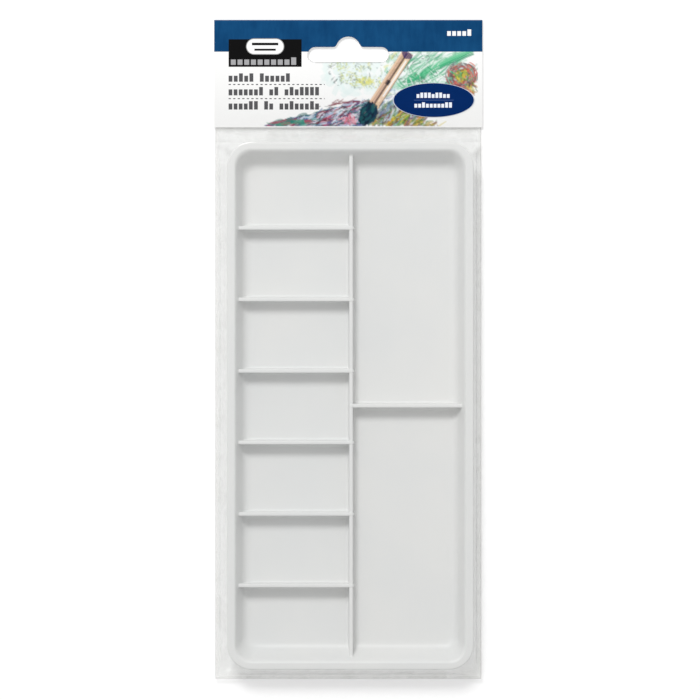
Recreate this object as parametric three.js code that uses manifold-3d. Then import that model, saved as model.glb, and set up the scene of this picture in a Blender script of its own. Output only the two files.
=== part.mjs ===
// A one-piece moulded paint palette in its retail pack: a clear film bag with a folded header card.
// The pack lies on its back. +Z comes up out of the wells, +Y points towards the header card,
// and the origin is the middle of the pack's footprint, on the surface it lies on. Millimetres.

import * as THREE from 'three';
import { mergeVertices } from 'three/addons/utils/BufferGeometryUtils.js';
import Module from 'manifold-3d';

const wasm = await Module();
wasm.setup();

// ---- Driving dimensions ----

const PACK = { length: 265.2, cardWidth: 108, bagWidth: 107 };

// The moulding: a rounded rectangle with a flat rim, drafted walls and a filleted floor.
const TRAY = { width: 98.9, length: 211.6, cornerRadius: 10, centreX: 0.8, centreY: -22.7 };
const TRAY_BASE = 0.45;
const TRAY_TOP = 11.4;
const WALL = 1.4;
const RIM_WIDTH = 3.5;
const FLOOR_FILLET = 5;
const SIDE_DRAFT = THREE.MathUtils.degToRad(20);
const END_DRAFT = THREE.MathUtils.degToRad(28);
const FLOOR_CORNER_RADIUS = 5;
const CORNER_STEPS = 7;
const FILLET_STEPS = 4;

// The ribs between the wells.
const RIB = { topWidth: 1.4, baseWidth: 1.8, belowRim: 2.8, fillet: 2.2, poke: 0.5 };
const SMALL_WELLS = 7;
const SMALL_WELL_PITCH = 28.72;
const LONG_RIB_X = 1.1;
const SMALL_RIB_MIDDLE_Y = -23.1;
const LARGE_RIB_Y = -22.7;

// The film of the bag, and the card, label and glue at its top.
const FILM = 0.15;
const SLOPED_FILM = 0.2;
const FILM_GAP = 0.3;
const CARD = 0.35;
const STACK_GAP = 0.05;
const GLUE = 0.1;
const LABEL = { width: 33, height: 13.9, thick: 0.12, x: 34.4, fromCardFoot: 11 };
const HEADER_HEIGHT = 43.3;
const SEAL_WIDTH = 1.4;
const SEAM_HEIGHT = 3;
const NECK_GAP = 0.3;
const NECK_FOOT = 2.4;
const TAB_START = 0.8;
const TAB_HEIGHT = 19;
const GLUE_STRIP = { width: 96, height: 12, fromCardFoot: 4 };

// The hanging hole is a standard euro slot: a long slot with a bump in its middle.
const EURO = {
  width: 32.6, height: 6.1, bumpWidth: 10, bumpTop: 10.3, fillet: 1, fromCardTop: 17,
};

// How finely curves are divided, and how far a cutter reaches past what it cuts.
const SLOPE_STEPS = 4;
const FOOT_STEPS = 3;
const FOLD_SEGMENTS = 8;
const SLOT_SEGMENTS = 10;
const OVAL_SEGMENTS = 24;
const CUT_PAST = 1;

// ---- Places worked out from them ----

const packTop = PACK.length / 2;
const packFoot = -PACK.length / 2;
const cardFoot = packTop - HEADER_HEIGHT;
const trayEndTop = TRAY.centreY + TRAY.length / 2;
const trayEndFoot = TRAY.centreY - TRAY.length / 2;
const bagMouth = trayEndTop + FILM_GAP;
const trayFloor = TRAY_BASE + WALL;
const ribTop = TRAY_TOP - RIB.belowRim;
const innerHalfX = TRAY.width / 2 - RIM_WIDTH;
const innerHalfY = TRAY.length / 2 - RIM_WIDTH;
const innerCornerRadius = TRAY.cornerRadius - RIM_WIDTH;
const filmOverTray = TRAY_TOP + FILM_GAP;

// The header's layers, from the surface up: card, glue, film, film, glue, card.
const layer = {};
layer.backCard = 0;
layer.backGlue = CARD + STACK_GAP;
layer.backFilm = layer.backGlue + GLUE + STACK_GAP;
layer.frontFilm = layer.backFilm + FILM + STACK_GAP;
layer.frontGlue = layer.frontFilm + FILM + STACK_GAP;
layer.frontCard = layer.frontGlue + GLUE + STACK_GAP;
layer.top = layer.frontCard + CARD;

// ---- Materials ----

function plainMaterial(colour, roughness, extra = {}) {
  return new THREE.MeshStandardMaterial({ color: colour, roughness, metalness: 0, ...extra });
}

const whitePlastic = plainMaterial(0xe4e4e4, 0.35);
const clearFilm = plainMaterial(0xf2f4f4, 0.12, { transparent: true, opacity: 0.2 });
const printedCard = plainMaterial(0xf4f4f2, 0.55);
const labelPaper = plainMaterial(0x0a2c66, 0.4);
const clearGlue = plainMaterial(0xdedac8, 0.5);

// ---- Geometry helpers ----

function closedGeometry(points, triangles) {
  const geometry = new THREE.BufferGeometry();
  geometry.setAttribute('position', new THREE.Float32BufferAttribute(points.flat(), 3));
  geometry.setIndex(triangles.flat());
  return geometry;
}

function toManifold(geometry) {
  const bare = geometry.clone();
  bare.deleteAttribute('normal');
  bare.deleteAttribute('uv');
  const merged = mergeVertices(bare, 1e-4);
  const mesh = new wasm.Mesh({
    numProp: 3,
    vertProperties: new Float32Array(merged.attributes.position.array),
    triVerts: new Uint32Array(merged.index.array),
  });
  return new wasm.Manifold(mesh);
}

function fromManifold(solid) {
  const mesh = solid.getMesh();
  const geometry = new THREE.BufferGeometry();
  geometry.setAttribute('position', new THREE.BufferAttribute(mesh.vertProperties, 3));
  geometry.setIndex(new THREE.BufferAttribute(mesh.triVerts, 1));
  return geometry;
}

// An extrusion of a closed outline along Z, from low to high.
function prism(shape, low, high, curveSegments) {
  const settings = { depth: high - low, bevelEnabled: false, curveSegments };
  return new THREE.ExtrudeGeometry(shape, settings).translate(0, 0, low);
}

// An outline in [y, z], extruded across the pack along X.
function acrossPack(shape, lowX, highX, curveSegments) {
  return prism(shape, lowX, highX, curveSegments).rotateX(Math.PI / 2).rotateZ(Math.PI / 2);
}

function block(lowX, highX, lowY, highY, lowZ, highZ) {
  const geometry = new THREE.BoxGeometry(highX - lowX, highY - lowY, highZ - lowZ);
  return geometry.translate((lowX + highX) / 2, (lowY + highY) / 2, (lowZ + highZ) / 2);
}

// One ring of points round a rounded rectangle at height z, anticlockwise seen from above.
function roundedRing({ halfX, halfY, radius, z }) {
  const ring = [];
  const corners = [[1, 1], [-1, 1], [-1, -1], [1, -1]];
  corners.forEach(([signX, signY], quarter) => {
    for (let step = 0; step <= CORNER_STEPS; step += 1) {
      const angle = (quarter + step / CORNER_STEPS) * Math.PI / 2;
      const x = TRAY.centreX + signX * (halfX - radius) + radius * Math.cos(angle);
      const y = TRAY.centreY + signY * (halfY - radius) + radius * Math.sin(angle);
      ring.push([x, y, z]);
    }
  });
  return ring;
}

// A closed solid through a stack of rings, capped flat at its first and last ring.
// The first cap faces down and the last cap faces up.
function loftedSolid(ringSizes) {
  const points = [];
  const triangles = [];
  const count = 4 * (CORNER_STEPS + 1);
  ringSizes.forEach((size) => points.push(...roundedRing(size)));
  for (let ring = 0; ring < ringSizes.length - 1; ring += 1) {
    for (let side = 0; side < count; side += 1) {
      const a = ring * count + side;
      const b = ring * count + (side + 1) % count;
      triangles.push([a, b, b + count], [a, b + count, a + count]);
    }
  }
  const last = (ringSizes.length - 1) * count;
  for (let side = 1; side < count - 1; side += 1) {
    triangles.push([0, side + 1, side], [last, last + side, last + side + 1]);
  }
  return closedGeometry(points, triangles);
}

// A thin sheet with a constant thickness in Z whose underside is at heightAt(x, y).
function sheet(xs, ys, heightAt, thickness) {
  const points = [];
  const triangles = [];
  const columns = xs.length;
  const rows = ys.length;
  const layerSize = columns * rows;
  [0, thickness].forEach((lift) => {
    ys.forEach((y) => xs.forEach((x) => points.push([x, y, heightAt(x, y) + lift])));
  });
  for (let row = 0; row < rows - 1; row += 1) {
    for (let column = 0; column < columns - 1; column += 1) {
      const a = row * columns + column;
      const b = a + 1;
      const c = b + columns;
      const d = a + columns;
      triangles.push([a, c, b], [a, d, c]);
      triangles.push([a + layerSize, b + layerSize, c + layerSize]);
      triangles.push([a + layerSize, c + layerSize, d + layerSize]);
    }
  }
  const rim = [];
  for (let column = 0; column < columns - 1; column += 1) rim.push(column);
  for (let row = 0; row < rows - 1; row += 1) rim.push(row * columns + columns - 1);
  for (let column = columns - 1; column > 0; column -= 1) rim.push((rows - 1) * columns + column);
  for (let row = rows - 1; row > 0; row -= 1) rim.push(row * columns);
  rim.forEach((a, index) => {
    const b = rim[(index + 1) % rim.length];
    triangles.push([a, b, b + layerSize], [a, b + layerSize, a + layerSize]);
  });
  return closedGeometry(points, triangles);
}

function named(name, geometry, material) {
  const mesh = new THREE.Mesh(geometry, material);
  mesh.name = name;
  return mesh;
}

// ---- The palette ----

// How far a drafted wall with its fillet has moved inwards, and how high it is there.
// offset is 0 on the inside of the wall and WALL on the outside.
function wallProfile(draft, offset) {
  const radius = FLOOR_FILLET + offset;
  const floor = trayFloor - offset;
  const turn = Math.PI / 2 - draft;
  const depth = TRAY_TOP - trayFloor;
  const floorRun = depth * Math.tan(draft) + FLOOR_FILLET * Math.tan(turn / 2);
  const profile = [];
  for (let step = 0; step <= FILLET_STEPS; step += 1) {
    const angle = turn * (1 - step / FILLET_STEPS);
    const inset = floorRun - radius * Math.sin(angle);
    profile.push({ inset, z: floor + radius * (1 - Math.cos(angle)) });
  }
  return profile;
}

// The wall's rings from under the rim to the floor, at one offset.
function wallRings(offset, topZ) {
  const side = wallProfile(SIDE_DRAFT, offset);
  const end = wallProfile(END_DRAFT, offset);
  const last = side.length - 1;
  const wallTop = {
    halfX: innerHalfX + offset / Math.cos(SIDE_DRAFT) - (TRAY_TOP - topZ) * Math.tan(SIDE_DRAFT),
    halfY: innerHalfY + offset / Math.cos(END_DRAFT) - (TRAY_TOP - topZ) * Math.tan(END_DRAFT),
    radius: innerCornerRadius,
    z: topZ,
  };
  const rings = side.map((point, index) => ({
    halfX: innerHalfX - point.inset,
    halfY: innerHalfY - end[index].inset,
    radius: THREE.MathUtils.lerp(innerCornerRadius, FLOOR_CORNER_RADIUS, index / last) + offset,
    z: (point.z + end[index].z) / 2,
  }));
  return [wallTop, ...rings];
}

const rimEdge = { halfX: TRAY.width / 2, halfY: TRAY.length / 2, radius: TRAY.cornerRadius };
const outsideRings = wallRings(WALL, TRAY_TOP - WALL).reverse();
const insideRings = wallRings(0, TRAY_TOP);

function paletteShell() {
  return loftedSolid([
    ...outsideRings,
    { ...rimEdge, z: TRAY_TOP - WALL },
    { ...rimEdge, z: TRAY_TOP },
    ...insideRings,
  ]);
}

// Everything inside the palette's outer surface, with the wells filled up.
function paletteEnvelope() {
  return loftedSolid([
    ...outsideRings,
    { ...outsideRings[outsideRings.length - 1], z: TRAY_TOP },
  ]);
}

// A rib's cross-section: drafted flanks, and a fillet where they meet the floor.
function ribSection() {
  const half = RIB.baseWidth / 2;
  const shape = new THREE.Shape();
  shape.moveTo(-half - RIB.fillet, TRAY_BASE + WALL / 2);
  shape.lineTo(half + RIB.fillet, TRAY_BASE + WALL / 2);
  shape.lineTo(half + RIB.fillet, trayFloor);
  for (let step = 1; step <= FILLET_STEPS; step += 1) {
    const angle = (step / FILLET_STEPS) * Math.PI / 2;
    const run = RIB.fillet * (1 - Math.sin(angle));
    shape.lineTo(half + run, trayFloor + RIB.fillet * (1 - Math.cos(angle)));
  }
  shape.lineTo(RIB.topWidth / 2, ribTop);
  shape.lineTo(-RIB.topWidth / 2, ribTop);
  for (let step = FILLET_STEPS; step >= 1; step -= 1) {
    const angle = (step / FILLET_STEPS) * Math.PI / 2;
    const run = RIB.fillet * (1 - Math.sin(angle));
    shape.lineTo(-half - run, trayFloor + RIB.fillet * (1 - Math.cos(angle)));
  }
  shape.lineTo(-half - RIB.fillet, trayFloor);
  return shape;
}

// Reverses the triangles of a mirrored geometry so that its faces point out again.
function turnedOut(geometry) {
  const flipped = mergeVertices(geometry);
  const index = flipped.index.array;
  for (let corner = 0; corner < index.length; corner += 3) {
    [index[corner], index[corner + 1]] = [index[corner + 1], index[corner]];
  }
  return flipped;
}

// A rib along Y at one x, or along X at one y, trimmed to the palette's outer surface later.
function ribAlongY(x, lowY, highY) {
  const mirrored = prism(ribSection(), lowY, highY).rotateX(Math.PI / 2).scale(1, -1, 1);
  return turnedOut(mirrored).translate(x, 0, 0);
}

function ribAlongX(y, lowX, highX) {
  return acrossPack(ribSection(), lowX, highX).translate(0, y, 0);
}

// The places along Y of the ribs between the small wells, starting at the header's end.
function smallRibPlaces() {
  const places = [];
  for (let rib = 1; rib < SMALL_WELLS; rib += 1) {
    places.push(SMALL_RIB_MIDDLE_Y + (SMALL_WELLS / 2 - rib) * SMALL_WELL_PITCH);
  }
  return places;
}

function paletteTray() {
  const envelope = toManifold(paletteEnvelope());
  const farX = innerHalfX + WALL;
  const pokeX = LONG_RIB_X + RIB.topWidth / 2 + RIB.poke;
  let ribs = toManifold(ribAlongY(LONG_RIB_X, trayEndFoot, trayEndTop));
  smallRibPlaces().forEach((y) => {
    ribs = ribs.add(toManifold(ribAlongX(y, TRAY.centreX - farX, pokeX)));
  });
  ribs = ribs.add(toManifold(ribAlongX(LARGE_RIB_Y, LONG_RIB_X, TRAY.centreX + farX)));
  const solid = toManifold(paletteShell()).add(ribs.intersect(envelope));
  return named('palette_tray', fromManifold(solid), whitePlastic);
}

// ---- The bag ----

// Eases from 0 to 1 and back out smoothly, as film does over an edge.
function ease(t) {
  const clamped = THREE.MathUtils.clamp(t, 0, 1);
  return clamped * clamped * (3 - 2 * clamped);
}

// Places across the bag: its welds, the slopes beside the palette and the span over it.
function acrossBag() {
  const half = PACK.bagWidth / 2;
  const left = TRAY.centreX - TRAY.width / 2;
  const right = TRAY.centreX + TRAY.width / 2;
  const places = [-half, -half + SEAL_WIDTH];
  for (let step = 1; step <= SLOPE_STEPS; step += 1) {
    places.push(THREE.MathUtils.lerp(-half + SEAL_WIDTH, left - FILM_GAP, step / SLOPE_STEPS));
  }
  for (let step = 0; step <= SLOPE_STEPS; step += 1) {
    places.push(THREE.MathUtils.lerp(right + FILM_GAP, half - SEAL_WIDTH, step / SLOPE_STEPS));
  }
  places.push(half);
  return places;
}

// How far up the slope from weld to palette a point across the bag is, from 0 to 1.
function slopeAcross(x) {
  const half = PACK.bagWidth / 2 - SEAL_WIDTH;
  const left = TRAY.centreX - TRAY.width / 2 - FILM_GAP;
  const right = TRAY.centreX + TRAY.width / 2 + FILM_GAP;
  return Math.min((x + half) / (left + half), (half - x) / (half - right), 1);
}

function slopeAtFoot(y) {
  const low = packFoot + SEAL_WIDTH;
  return Math.min((y - low) / (trayEndFoot - FILM_GAP - low), 1);
}

function bagFrontFilm() {
  const sealTop = packFoot + SEAL_WIDTH;
  const slopeTop = trayEndFoot - FILM_GAP;
  const footPlaces = [packFoot, sealTop];
  for (let step = 1; step <= FOOT_STEPS; step += 1) {
    footPlaces.push(THREE.MathUtils.lerp(sealTop, slopeTop, step / FOOT_STEPS));
  }
  const height = (x, y) => {
    const rise = Math.min(ease(slopeAcross(x)), ease(slopeAtFoot(y)));
    return THREE.MathUtils.lerp(SEAM_HEIGHT, filmOverTray, rise);
  };
  const geometry = sheet(acrossBag(), [...footPlaces, bagMouth], height, SLOPED_FILM);
  return named('bag_front_film', geometry, clearFilm);
}

// The back film lies flat under the palette and turns up to the welds at its edges.
function bagBackFilm() {
  const half = PACK.bagWidth / 2;
  const flatHalf = innerHalfX - FLOOR_FILLET;
  const xs = [-half, -half + SEAL_WIDTH, -flatHalf, flatHalf, half - SEAL_WIDTH, half];
  const flatFoot = trayEndFoot + FLOOR_FILLET;
  const ys = [packFoot, packFoot + SEAL_WIDTH, flatFoot, bagMouth];
  const top = SEAM_HEIGHT - FILM - STACK_GAP;
  const height = (x, y) => {
    const side = (Math.abs(x) - flatHalf) / (half - SEAL_WIDTH - flatHalf);
    const foot = (flatFoot - y) / (flatFoot - packFoot - SEAL_WIDTH);
    return top * THREE.MathUtils.clamp(Math.max(side, foot), 0, 1);
  };
  return named('bag_back_film', sheet(xs, ys, height, FILM), clearFilm);
}

// The outline of a strip of one thickness along a centreline of [y, z] points.
function stripSection(centreline, thickness) {
  const normals = centreline.slice(1).map(([y, z], index) => {
    const [fromY, fromZ] = centreline[index];
    const length = Math.hypot(y - fromY, z - fromZ);
    return [(fromZ - z) / length, (y - fromY) / length];
  });
  const side = (sign) => centreline.map(([y, z], index) => {
    const before = normals[Math.max(index - 1, 0)];
    const after = normals[Math.min(index, normals.length - 1)];
    const sum = [before[0] + after[0], before[1] + after[1]];
    const mitre = thickness / (sum[0] * before[0] + sum[1] * before[1]);
    return new THREE.Vector2(y + sign * mitre * sum[0] / 2, z + sign * mitre * sum[1] / 2);
  });
  return new THREE.Shape([...side(-1), ...side(1).reverse()]);
}

// The front film comes down over the palette's end and runs out flat towards the card.
function bagNeckFront() {
  const start = bagMouth + NECK_GAP;
  const foot = cardFoot - NECK_FOOT;
  const low = layer.frontFilm + SLOPED_FILM / 2;
  const centreline = [
    [start, filmOverTray],
    [(start + foot) / 2, low + CARD],
    [foot, low],
  ];
  const half = PACK.cardWidth / 2 - SEAL_WIDTH;
  const geometry = acrossPack(stripSection(centreline, SLOPED_FILM), -half, half);
  return named('bag_neck_front', geometry, clearFilm);
}

function bagNeckBack() {
  const half = PACK.cardWidth / 2 - SEAL_WIDTH;
  const geometry = block(-half, half, bagMouth + NECK_GAP, cardFoot - NECK_FOOT, 0, FILM);
  return named('bag_neck_back', geometry, clearFilm);
}

// The top of the bag, inside the folded card.
function bagTab(name, low) {
  const half = PACK.cardWidth / 2 - SEAL_WIDTH;
  const geometry = block(-half, half, cardFoot - TAB_START, cardFoot + TAB_HEIGHT, low, low + FILM);
  return named(name, geometry, clearFilm);
}

// ---- The header card ----

// The arc of the bump starts a fillet's height above the slot's shoulder.
function euroSlotShape() {
  const end = EURO.height / 2;
  const half = EURO.width / 2 - end;
  const bump = EURO.bumpWidth / 2;
  const middleY = packTop - EURO.fromCardTop + end;
  const bumpCentreY = packTop - EURO.fromCardTop + EURO.bumpTop - bump;
  const shape = new THREE.Shape();
  const shoulder = middleY + end;
  const cornerX = bump * Math.cos(Math.asin((shoulder - bumpCentreY) / bump));
  const start = Math.asin((shoulder + EURO.fillet - bumpCentreY) / bump);
  shape.moveTo(-half, middleY - end);
  shape.lineTo(half, middleY - end);
  shape.absarc(half, middleY, end, -Math.PI / 2, Math.PI / 2, false);
  shape.lineTo(cornerX + EURO.fillet, shoulder);
  shape.quadraticCurveTo(cornerX, shoulder, bump * Math.cos(start), shoulder + EURO.fillet);
  shape.absarc(0, bumpCentreY, bump, start, Math.PI - start, false);
  shape.quadraticCurveTo(-cornerX, shoulder, -cornerX - EURO.fillet, shoulder);
  shape.lineTo(-half, shoulder);
  shape.absarc(-half, middleY, end, Math.PI / 2, Math.PI * 3 / 2, false);
  return shape;
}

// The card's section from the side: back panel, fold at the top, front panel.
function foldedSection() {
  const outer = layer.top / 2;
  const inner = outer - CARD;
  const foldY = packTop - outer;
  const shape = new THREE.Shape();
  shape.moveTo(cardFoot, 0);
  shape.lineTo(foldY, 0);
  shape.absarc(foldY, outer, outer, -Math.PI / 2, Math.PI / 2, false);
  shape.lineTo(cardFoot, layer.top);
  shape.lineTo(cardFoot, layer.frontCard);
  shape.lineTo(foldY, layer.frontCard);
  shape.absarc(foldY, outer, inner, Math.PI / 2, -Math.PI / 2, true);
  shape.lineTo(cardFoot, CARD);
  return shape;
}

function headerCard() {
  const half = PACK.cardWidth / 2;
  const folded = acrossPack(foldedSection(), -half, half, FOLD_SEGMENTS);
  const slot = prism(euroSlotShape(), -CUT_PAST, layer.top + CUT_PAST, SLOT_SEGMENTS);
  const solid = toManifold(folded).subtract(toManifold(slot));
  return named('header_card', fromManifold(solid), printedCard);
}

function ovalLabel() {
  const shape = new THREE.Shape();
  const y = cardFoot + LABEL.fromCardFoot;
  shape.absellipse(LABEL.x, y, LABEL.width / 2, LABEL.height / 2, 0, Math.PI * 2, false);
  const low = layer.top + STACK_GAP;
  return named('oval_label', prism(shape, low, low + LABEL.thick, OVAL_SEGMENTS), labelPaper);
}

function adhesiveStrip(name, low) {
  const half = GLUE_STRIP.width / 2;
  const foot = cardFoot + GLUE_STRIP.fromCardFoot;
  const geometry = block(-half, half, foot, foot + GLUE_STRIP.height, low, low + GLUE);
  return named(name, geometry, clearGlue);
}

// ---- The pack ----

const pack = new THREE.Group();

const palette = new THREE.Group();
palette.add(paletteTray(), bagNeckFront(), bagNeckBack());

const pouch = new THREE.Group();
pouch.add(bagFrontFilm(), bagBackFilm());

const header = new THREE.Group();
header.add(headerCard(), ovalLabel());
header.add(adhesiveStrip('adhesive_strip_front', layer.frontGlue));
header.add(adhesiveStrip('adhesive_strip_back', layer.backGlue));
header.add(bagTab('bag_tab_front', layer.frontFilm), bagTab('bag_tab_back', layer.backFilm));

pack.add(palette, pouch, header);

export default pack;
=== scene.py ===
"""The looks of a paint palette in its retail pack: moulded palette, film bag and header card."""

import math
import random

import bpy
import numpy as np
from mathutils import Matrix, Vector, noise


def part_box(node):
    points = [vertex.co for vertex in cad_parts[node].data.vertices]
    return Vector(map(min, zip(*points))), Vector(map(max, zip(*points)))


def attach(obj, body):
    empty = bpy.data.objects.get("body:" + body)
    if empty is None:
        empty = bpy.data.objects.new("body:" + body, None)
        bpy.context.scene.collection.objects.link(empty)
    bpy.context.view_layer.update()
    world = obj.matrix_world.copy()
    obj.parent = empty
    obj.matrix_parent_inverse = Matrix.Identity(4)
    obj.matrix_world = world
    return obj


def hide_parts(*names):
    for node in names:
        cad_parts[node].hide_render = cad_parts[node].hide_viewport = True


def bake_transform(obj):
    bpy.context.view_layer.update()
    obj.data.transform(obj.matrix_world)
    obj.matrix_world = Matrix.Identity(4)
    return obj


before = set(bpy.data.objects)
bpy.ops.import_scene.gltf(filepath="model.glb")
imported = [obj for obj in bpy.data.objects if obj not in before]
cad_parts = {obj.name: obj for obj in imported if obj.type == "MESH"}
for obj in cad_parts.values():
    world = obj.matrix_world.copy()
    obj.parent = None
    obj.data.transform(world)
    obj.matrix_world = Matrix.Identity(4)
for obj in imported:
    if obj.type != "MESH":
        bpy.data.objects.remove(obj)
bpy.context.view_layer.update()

MM = 0.001
random_numbers = random.Random(7)

# ---- The camera: straight above the pack, through a long lens ----

VIEW_WIDTH = 0.282
VIEW_CENTRE = (0.00068, -0.0003)
CAMERA_HEIGHT = 2.5
SENSOR_WIDTH = 36.0


def add_object(name, data):
    made = bpy.data.objects.new(name, data)
    bpy.context.scene.collection.objects.link(made)
    return made


def add_camera():
    data = bpy.data.cameras.new("camera")
    data.sensor_width = SENSOR_WIDTH
    data.lens = SENSOR_WIDTH * CAMERA_HEIGHT / VIEW_WIDTH
    data.clip_end = 20
    camera = add_object("camera", data)
    camera.location = (*VIEW_CENTRE, CAMERA_HEIGHT)
    bpy.context.scene.camera = camera


# ---- Light and floor ----

KEY_PLACE = Vector((-0.31, 0.86, 1.2))
KEY_SIZE = 0.5
KEY_POWER = 12.0
SKY_STRENGTH = 0.65
FLOOR_GLOW = 0.29
FLOOR_HALF = 3000.0
FLOOR_HEIGHT = -0.02


def add_light():
    data = bpy.data.lights.new("key", "AREA")
    data.shape = "DISK"
    data.size = KEY_SIZE
    data.energy = KEY_POWER
    key = add_object("key", data)
    key.location = KEY_PLACE
    key.rotation_euler = (-KEY_PLACE).to_track_quat("-Z", "Y").to_euler()
    world = bpy.data.worlds.new("studio")
    world.use_nodes = True
    background = world.node_tree.nodes["Background"]
    background.inputs["Color"].default_value = (1.0, 1.0, 1.0, 1.0)
    background.inputs["Strength"].default_value = SKY_STRENGTH
    bpy.context.scene.world = world
    bpy.context.scene.view_settings.view_transform = "Standard"


# ---- Node materials ----


class Wire:
    """An output of a node, which adds, multiplies and compares like a number."""

    def __init__(self, recipe, socket):
        self.recipe = recipe
        self.socket = socket

    def __add__(self, other):
        return self.recipe.math("ADD", self, other)

    def __sub__(self, other):
        return self.recipe.math("SUBTRACT", self, other)

    def __rsub__(self, other):
        return self.recipe.math("SUBTRACT", other, self)

    def __mul__(self, other):
        return self.recipe.math("MULTIPLY", self, other)

    def __truediv__(self, other):
        return self.recipe.math("DIVIDE", self, other)

    def above(self, level):
        return self.recipe.math("GREATER_THAN", self, level)

    def below(self, level):
        return self.recipe.math("LESS_THAN", self, level)

    def between(self, low, high):
        return self.above(low) * self.below(high)

    def power(self, exponent):
        return self.recipe.math("POWER", self, exponent)

    def larger(self, other):
        return self.recipe.math("MAXIMUM", self, other)

    def smaller(self, other):
        return self.recipe.math("MINIMUM", self, other)

    def absolute(self):
        return self.recipe.math("ABSOLUTE", self)

    def floor(self):
        return self.recipe.math("FLOOR", self)

    def fraction(self):
        return self.recipe.math("FRACT", self)

    def ramp(self, low, high, low_value=0.0, high_value=1.0):
        """Rises smoothly from low_value at low to high_value at high."""
        settings = {"interpolation_type": "SMOOTHSTEP"}
        given = [self, low, high, low_value, high_value]
        node = self.recipe.add("MapRange", settings, given)
        return Wire(self.recipe, node.outputs["Result"])


class Recipe:
    """One material, built from nodes."""

    def __init__(self, name):
        self.material = bpy.data.materials.new(name)
        self.material.use_nodes = True
        self.tree = self.material.node_tree
        self.tree.nodes.clear()

    def set(self, socket, value):
        if isinstance(value, Wire):
            self.tree.links.new(value.socket, socket)
        elif isinstance(value, (tuple, list)) and socket.type == "RGBA":
            socket.default_value = (*value, 1.0)[:4]
        else:
            socket.default_value = value

    def add(self, kind, settings=None, inputs=None):
        node = self.tree.nodes.new(f"ShaderNode{kind}")
        for name, value in (settings or {}).items():
            setattr(node, name, value)
        given = inputs or {}
        pairs = given.items() if isinstance(given, dict) else enumerate(given)
        for name, value in pairs:
            self.set(node.inputs[name], value)
        return node

    def math(self, operation, *values):
        node = self.add("Math", {"operation": operation}, list(values))
        return Wire(self, node.outputs[0])

    def position(self):
        """The place on the object at rest, as x, y and z in millimetres."""
        source = self.add("TexCoord").outputs["Object"]
        apart = self.add("SeparateXYZ", None, [Wire(self, source)])
        return [Wire(self, output) * 1000.0 for output in apart.outputs]

    def join(self, x, y, z):
        return Wire(self, self.add("CombineXYZ", None, [x, y, z]).outputs[0])

    def noise(self, place, scale, detail=3.0, roughness=0.5, distortion=0.0):
        given = {
            "Vector": place,
            "Scale": scale,
            "Detail": detail,
            "Roughness": roughness,
            "Distortion": distortion,
        }
        return Wire(self, self.add("TexNoise", None, given).outputs["Fac"])

    def chance(self, place):
        """An unrelated number from 0 to 1 for each place."""
        node = self.add("TexWhiteNoise", {"noise_dimensions": "2D"}, {"Vector": place})
        return Wire(self, node.outputs["Value"])

    def mix(self, share, first, second):
        node = self.add("Mix", {"data_type": "RGBA"})
        self.set(node.inputs[0], share)
        self.set(node.inputs[6], first)
        self.set(node.inputs[7], second)
        return Wire(self, node.outputs[2])

    def bump(self, height, strength, distance=0.1 * MM):
        given = {"Strength": strength, "Distance": distance, "Height": height}
        return Wire(self, self.add("Bump", None, given).outputs[0])

    def principled(self, **inputs):
        named = {name.replace("_", " "): value for name, value in inputs.items()}
        return self.add("BsdfPrincipled", None, named).outputs[0]

    def finish(self, shader):
        output = self.add("OutputMaterial")
        self.tree.links.new(shader, output.inputs["Surface"])
        return self.material


def srgb(red, green, blue):
    """A colour from its 0 to 255 screen values, as linear light."""

    def linear(level):
        level = level / 255
        if level <= 0.04045:
            return level / 12.92
        return ((level + 0.055) / 1.055) ** 2.4

    return (linear(red), linear(green), linear(blue))


# ---- Meshes ----


def make_mesh(name, points, faces, material, smooth=True):
    """points are in millimetres."""
    mesh = bpy.data.meshes.new(name)
    mesh.from_pydata((np.asarray(points) * MM).tolist(), [], faces)
    mesh.polygons.foreach_set("use_smooth", [smooth] * len(mesh.polygons))
    if material:
        mesh.materials.append(material)
    mesh.update()
    return add_object(name, mesh)


def lines(*stretches):
    """Grid lines over several stretches of (low, high, longest step), sorted, without doubles."""
    places = []
    for low, high, step in stretches:
        count = max(1, math.ceil((high - low) / step))
        places.extend(np.linspace(low, high, count + 1))
    places = np.unique(np.round(places, 4))
    return places


def grid_loop(columns, rows):
    """The vertices round the edge of a grid, anticlockwise from its low corner."""
    loop = list(range(columns))
    loop += [row * columns + columns - 1 for row in range(1, rows)]
    loop += [(rows - 1) * columns + column for column in range(columns - 2, -1, -1)]
    loop += [row * columns for row in range(rows - 2, 0, -1)]
    return loop


def grid_faces(columns, rows):
    corner = np.arange(columns * rows).reshape(rows, columns)
    quads = [corner[:-1, :-1], corner[:-1, 1:], corner[1:, 1:], corner[1:, :-1]]
    return np.stack(quads, axis=-1).reshape(-1, 4)


def strip_faces(outer, inner):
    """Quads between two closed loops of the same length, outer first."""
    following = range(1, len(outer) + 1)
    return [
        (outer[k], inner[k], inner[n % len(outer)], outer[n % len(outer)])
        for k, n in enumerate(following)
    ]


def slab(name, xs, ys, top_at, thickness, material):
    """A closed sheet over the grid of xs and ys. top_at gives the height of its upper face."""
    x, y = (values.ravel() for values in np.meshgrid(xs, ys))
    top = top_at(x, y)
    points = np.concatenate([np.stack([x, y, top], 1), np.stack([x, y, top - thickness], 1)])
    upper = grid_faces(len(xs), len(ys))
    lower = upper[:, ::-1] + len(x)
    edge = grid_loop(len(xs), len(ys))
    wall = strip_faces(edge, [vertex + len(x) for vertex in edge])
    return make_mesh(name, points, upper.tolist() + lower.tolist() + wall, material)


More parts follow.
